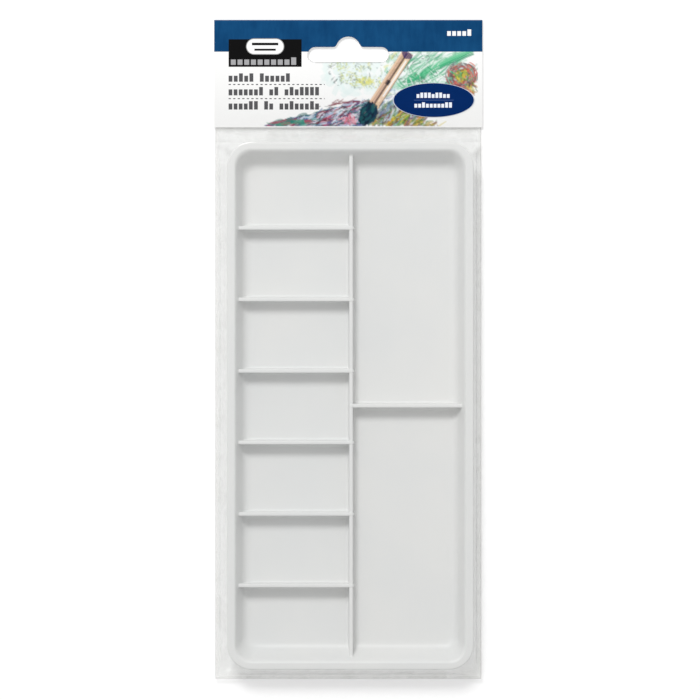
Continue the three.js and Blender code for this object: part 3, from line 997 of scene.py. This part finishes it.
def paint_meadow(painting):
    """Greens and yellows under the brush, falling away to the right."""
    foot = CARD_FOOT
    place = in_box((10, foot + 1), (31, foot + 9))
    broad = MEADOW[:1] + MEADOW[2:4] + DARKS[1:2]
    painting.scatter(90, place, (42, 12), (4.6, 1.4), (1.6, 0.4), broad, 1.0)
    painting.scatter(200, place, (44, 16), (3.6, 1.4), (0.7, 0.3), MEADOW + TIDE[2:4] + ROSE[1:2], 1.0)
    rise = in_box((13, foot + 5), (20, foot + 15))
    painting.scatter(80, rise, (50, 20), (3, 1), (0.7, 0.2), TIDE + MEADOW[:1], 0.6)
    tail = under_slope((40, foot + 0.8), (26, foot + 4))
    painting.scatter(34, tail, (30, 12), (3, 1), (0.7, 0.2), MEADOW, 0.8)


def paint_fan(painting):
    """Blues and reds that fan out along the card's foot, highest beside the brush."""
    foot = CARD_FOOT
    low = (-34.5, foot + 0.6)
    place = under_slope(low, (6.0, foot + 10.0))
    broad = TIDE[:2] + TIDE[:1] + ROSE[1:2] + DARKS[2:3]
    painting.scatter(160, place, (18, 9), (6, 2.0), (1.7, 0.4), broad, 1.1)
    painting.scatter(240, place, (22, 12), (5, 2.0), (0.8, 0.3), TIDE + ROSE[:2], 0.95)
    pale = [TIDE[3], ROSE[2], TIDE[2], TIDE[3]]
    painting.scatter(120, place, (28, 16), (3.0, 1.2), THIN, pale, 1.0)
    painting.scatter(60, place, (24, 14), (3.0, 1.0), THIN, [ROSE[1], TIDE[0], DARKS[2]], 1.0)
    painting.scatter(40, in_box((-30, foot + 0.8), (-14, foot + 3.2)), (10, 6), (4, 1), (0.8, 0.2), SEA)
    bloom = in_oval((0.9, foot + 2.8), (2.0, 1.7))
    painting.scatter(22, bloom, (60, 50), (1.8, 0.5), (0.7, 0.2), ROSE[:1] + ROSE[2:])
    crest = in_oval((-3.0, foot + 10.2), (5.5, 0.9))
    painting.scatter(8, crest, (16, 10), (5, 1), (0.6, 0.1), ROSE[1:2], 0.9)


def paint_accents(painting):
    """Thin dark touches among the colours."""
    foot = CARD_FOOT
    for low, high, count in (
        ((-14, foot + 1), (5, foot + 9), 46),
        ((10, foot + 1), (30, foot + 10), 50),
        ((20, foot + 18), (48, foot + 29), 30),
        ((41, foot + 16), (51, foot + 26), 26),
        ((-8, foot + 18), (14, foot + 26), 16),
    ):
        painting.scatter(count, in_box(low, high), (35, 30), (1.6, 0.6), (0.4, 0.1), DARKS, 0.75)


def paint_brush(painting):
    """A plain brush lying across the painting, its bristles wet with dark paint."""
    top = np.array((24.2, CARD_FOOT + 30.4))
    tip = np.array((5.4, CARD_FOOT + 1.6))
    along = (tip - top) / np.hypot(*(tip - top))
    across = np.array((-along[1], along[0]))

    def band(start, end, side, width, colour, taper=0.0):
        places = [top + (tip - top) * share + across * side for share in (start, end)]
        painting.stroke(*places, width, colour, 0, 1.0, taper)

    band(0.0, 0.76, -1.3, 2.0, TAN)
    band(0.05, 0.76, -1.9, 0.5, PEACH)
    band(0.0, 0.76, 1.1, 2.2, PEACH)
    band(0.1, 0.6, 1.2, 0.6, WHITE)
    band(0.0, 0.72, 2.2, 0.35, BROWN)
    band(0.02, 0.78, -0.1, 0.8, BROWN)
    band(0.4, 0.46, -0.2, 1.6, INK_TEAL[3])
    band(0.0, 0.09, 0.2, 4.6, VIOLET, 1.0)
    bristles = top + (tip - top) * 0.87

    def near_bristles():
        x, y = in_oval((0, 0), (1, 1))()
        return bristles + along * x * 3.9 + across * y * (3.3 - 0.4 * x)

    lean = math.degrees(math.atan2(along[1], along[0]))
    painting.scatter(190, near_bristles, (lean, 14), (2.6, 0.7), (0.9, 0.2), INK_TEAL, 1.1)


def paint_card(card):
    mesh = card.data
    places = np.empty(len(mesh.vertices) * 3)
    mesh.vertices.foreach_get("co", places)
    places = places.reshape(-1, 3) / MM
    painting = Painting(places[:, 0], places[:, 1])
    washes = (paint_wash, paint_leaves, paint_scribble, paint_meadow, paint_fan)
    for paint in (*washes, paint_accents, paint_brush):
        paint(painting)
    # Painted shadow: a thin grey line along the slot's cut edge.
    outline = np.array(euro_slot_outline())
    gaps = np.hypot(places[:, :1] - outline[:, 0], places[:, 1:2] - outline[:, 1])
    low_edge = np.abs(painting.y - EURO_FOOT) + np.maximum(np.abs(painting.x) - EURO_WIDTH / 2 + 3, 0)
    at_slot = np.minimum(gaps.min(1), low_edge) < SLOT_EDGE
    painting.colour[at_slot] *= SLOT_EDGE_PAINTED_SHADOW
    in_margin = (painting.y < CARD_FOOT + 0.5) | (places[:, 2] < CARD_FRONT - 0.1)
    painting.colour[in_margin] = WHITE
    attribute = mesh.color_attributes.new("painting", "FLOAT_COLOR", "POINT")
    values = np.ones((len(places), 4))
    values[:, :3] = painting.colour
    attribute.data.foreach_set("color", values.ravel())


# ---- Print ----

INK = srgb(90, 90, 92)
BAND_BLUE = shades((2, 62, 108), (14, 76, 124))
BLOCK_BLACK = srgb(8, 8, 8)
TEXT_LEFT = -48.2
BLOCK_WIDTH = 0.74
BLOCK_HEIGHT = 0.72


def in_rectangle(x, y, low, high):
    return x.between(low[0], high[0]) * y.between(low[1], high[1])


def greeked(recipe, x, y, start, foot, width, height, letter, words, seed):
    """A line of print shown as plain blocks instead of letters. words lists where the gaps are."""
    place = (x - start) / letter
    cell = place.floor()
    across = place.fraction()
    tall = recipe.chance(recipe.join(cell, seed, 0.0)).above(0.66)
    top = (tall * (1 - BLOCK_HEIGHT) + BLOCK_HEIGHT) * height
    ink = across.between(0.0, BLOCK_WIDTH) * (y - foot).between(0.0, top)
    for gap in words:
        ink = ink * (1.0 - (cell + 0.5).between(gap, gap + 1))
    return ink * (cell + 1.0).between(0.5, math.floor(width / letter) + 0.5)


def front_print(recipe, x, y):
    """Masks over the painting: the band, the block with its plain badge, and the lines of print."""
    attribute = recipe.add("Attribute", {"attribute_name": "painting"})
    painting = Wire(recipe, attribute.outputs["Color"])
    place = recipe.join(x, y * 0.22, 0.0)
    streaks = recipe.noise(place, 0.5, 5.0, 0.65).ramp(0.35, 0.65)
    first = greeked(recipe, x, y, TEXT_LEFT, CARD_FOOT + 18.4, 25.6, 3.4, 2.1, (5,), 3.0)
    second = greeked(recipe, x, y, TEXT_LEFT, CARD_FOOT + 12.9, 38.9, 3.4, 2.05, (7, 10), 5.0)
    third = greeked(recipe, x, y, TEXT_LEFT, CARD_FOOT + 7.2, 37.5, 3.4, 2.05, (6, 9), 9.0)
    ink = first.larger(second).larger(third)
    dashes = ((x - TEXT_LEFT) / 1.83).fraction().below(0.5) * (x - TEXT_LEFT).between(0.0, 38.7)
    for height in (17.3, 11.6):
        ink = ink.larger(dashes * (y - CARD_FOOT).between(height - 0.2, height + 0.2))
    colour = recipe.mix(ink, painting, INK)
    band = y.above(BAND_FOOT)
    cloud = recipe.noise(recipe.join(x, y, 4.0), 0.09, 3.0).ramp(0.35, 0.65)
    blue = recipe.mix(streaks * 0.4 + cloud * 0.6, *BAND_BLUE)
    colour = recipe.mix(band, colour, blue)
    low, high = (TEXT_LEFT, CARD_FOOT + 24.4), (TEXT_LEFT + 29.4, CARD_FOOT + 35.5)
    colour = recipe.mix(in_rectangle(x, y, low, high), colour, BLOCK_BLACK)
    badge_x = ((x - (low[0] + high[0]) / 2).absolute() - 4.4).larger(0.0)
    badge_y = (y - (high[1] - 2.9)).absolute()
    badge = (badge_x.power(2.0) + badge_y.power(2.0)).power(0.5)
    bars = in_rectangle(x, y, (low[0] + 10.4, high[1] - 4.6), (high[0] - 10.4, high[1] - 3.8))
    bars = bars.larger(in_rectangle(x, y, (low[0] + 9.4, high[1] - 2.4), (high[0] - 9.4, high[1] - 1.4)))
    colour = recipe.mix(badge.below(3.3), colour, srgb(150, 150, 150))
    colour = recipe.mix(badge.below(3.0), colour, WHITE)
    colour = recipe.mix(bars, colour, BLOCK_BLACK)
    word = greeked(recipe, x, y, low[0] + 0.9, low[1] + 0.8, 27.0, 3.0, 2.7, (), 12.0)
    colour = recipe.mix(word, colour, srgb(170, 170, 172))
    code = greeked(recipe, x, y, CARD_HALF - 14.2, CARD_TOP - 6.4, 10.2, 2.6, 2.04, (), 21.0)
    return recipe.mix(code, colour, WHITE)


def back_print(recipe, x, y):
    """A plain back: the band folded over, some lines of print and a block of stripes."""
    colour = recipe.mix(y.above(BAND_FOOT), WHITE, BAND_BLUE[0])
    ink = greeked(recipe, x, y, -20.0, CARD_FOOT + 9.0, 60.0, 1.8, 1.1, (9, 15, 24, 31, 44), 31.0)
    for line in range(1, 4):
        foot = CARD_FOOT + 9.0 + line * 3.4
        width = 60.0 - line * 4
        line_ink = greeked(recipe, x, y, -20.0, foot, width, 1.8, 1.1, (6, 17, 26, 38), 31.0 + line)
        ink = ink.larger(line_ink)
    stripe = recipe.chance(recipe.join((x / 0.42).floor(), 2.0, 0.0)).above(0.5)
    stripes = stripe * in_rectangle(x, y, (-48.0, CARD_FOOT + 6.0), (-26.0, CARD_FOOT + 20.0))
    return recipe.mix(ink.larger(stripes), colour, INK)


def printed_card():
    recipe = Recipe("printed_card")
    x, y, z = recipe.position()
    place = recipe.join(x, y, z)
    front = z.above(CARD_FRONT - 0.08)
    back = z.below(0.02)
    paper = recipe.mix(recipe.noise(place, 0.9, 4.0), srgb(236, 235, 231), srgb(244, 243, 240))
    colour = recipe.mix(front, paper, front_print(recipe, x, y))
    colour = recipe.mix(back, colour, back_print(recipe, x, y))
    fold_band = z.between(0.02, CARD_FRONT - 0.08) * y.above(CARD_TOP - CARD_FRONT / 2)
    colour = recipe.mix(fold_band, colour, BAND_BLUE[0])
    fibres = recipe.noise(place, 1.6, 4.0, 0.6)
    bump = recipe.bump(fibres, 0.08, 0.04 * MM)
    # The card is made a little darker all over, and painted shade darkens it more towards its foot, away from
    # the light.
    colour = recipe.mix(y.ramp(CARD_FOOT, BAND_FOOT, 0.17, 0.07), colour, (0.0, 0.0, 0.0))
    given = {"Base_Color": colour, "Normal": bump, "Specular_IOR_Level": 0.06}
    shader = recipe.principled(Roughness=fibres * 0.1 + 0.4, **given)
    return recipe.finish(shader)


def make_card():
    card = folded_card(printed_card())
    cut(card, euro_slot_cutter())
    paint_card(card)
    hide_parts("header_card")
    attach(card, "header")


# ---- The oval label ----

label_low, label_high = (np.array(corner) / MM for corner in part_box("oval_label"))
LABEL_CENTRE = (label_low + label_high) / 2
LABEL_HALF = (label_high - label_low) / 2
LABEL_SIDES = 128
LABEL_EDGE = 0.04


def navy_label():
    recipe = Recipe("navy_label")
    x, y, z = recipe.position()
    across = x - LABEL_CENTRE[0]
    up = y - LABEL_CENTRE[1]
    shade = recipe.noise(recipe.join(x, y, z), 0.3, 4.0)
    navy = recipe.mix(shade, srgb(0, 36, 90), srgb(2, 40, 98))
    upper = greeked(recipe, across, up, -6.9, 0.9, 13.8, 2.1, 1.52, (), 41.0)
    lower = greeked(recipe, across, up, -7.8, -3.0, 15.6, 2.1, 1.55, (), 43.0)
    rule = in_rectangle(across, up, (-8.0, -0.1), (8.0, 0.1))
    colour = recipe.mix(upper.larger(lower), navy, srgb(232, 236, 244))
    colour = recipe.mix(rule, colour, srgb(70, 96, 150))
    out = ((across / LABEL_HALF[0]).power(2.0) + (up / LABEL_HALF[1]).power(2.0)).power(0.5)
    colour = recipe.mix(out.above(0.978), colour, srgb(196, 202, 214))
    shader = recipe.principled(Base_Color=colour, Roughness=shade * 0.1 + 0.38, Specular_IOR_Level=0.03)
    return recipe.finish(shader)


def make_label():
    """A thin oval disc with a small rounded edge."""
    turns = np.linspace(0, 2 * math.pi, LABEL_SIDES, endpoint=False)
    circle = np.stack([np.cos(turns), np.sin(turns)], 1)
    low, high = label_low[2], label_high[2]
    bevel = LABEL_EDGE * 0.3
    levels = ((0, low), (0, high - LABEL_EDGE), (bevel, high - bevel), (LABEL_EDGE, high))
    points = []
    for inset, height in levels:
        ring = LABEL_CENTRE[:2] + circle * (LABEL_HALF[:2] - inset)
        points += [(x, y, height) for x, y in ring]
    loops = [list(range(k * LABEL_SIDES, (k + 1) * LABEL_SIDES)) for k in range(len(levels))]
    faces = [loops[0][::-1], loops[-1]]
    for lower, upper in zip(loops, loops[1:]):
        faces += strip_faces(upper, lower)
    label = make_mesh("label_oval", points, faces, navy_label(), smooth=False)
    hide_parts("oval_label")
    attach(label, "header")


def adhesive():
    """Clear yellowish glue with brushed streaks, hidden between card and film."""
    recipe = Recipe("adhesive")
    x, y, z = recipe.position()
    streaks = recipe.noise(recipe.join(x * 0.15, y, z), 0.9, 4.0)
    colour = recipe.mix(streaks, srgb(214, 208, 186), srgb(226, 222, 204))
    shader = recipe.principled(Base_Color=colour, Roughness=streaks * 0.3 + 0.3)
    return recipe.finish(shader)


def dress_adhesive():
    material = adhesive()
    for node in ("adhesive_strip_front", "adhesive_strip_back"):
        strip = bpy.data.objects[node]
        strip.data.materials.clear()
        strip.data.materials.append(material)


# ---- Build ----

add_camera()
add_light()
make_floor()

make_palette(palette_plastic())
film = clear_film()
make_pouch(film)
make_neck(film)
make_card()
make_label()
dress_adhesive()
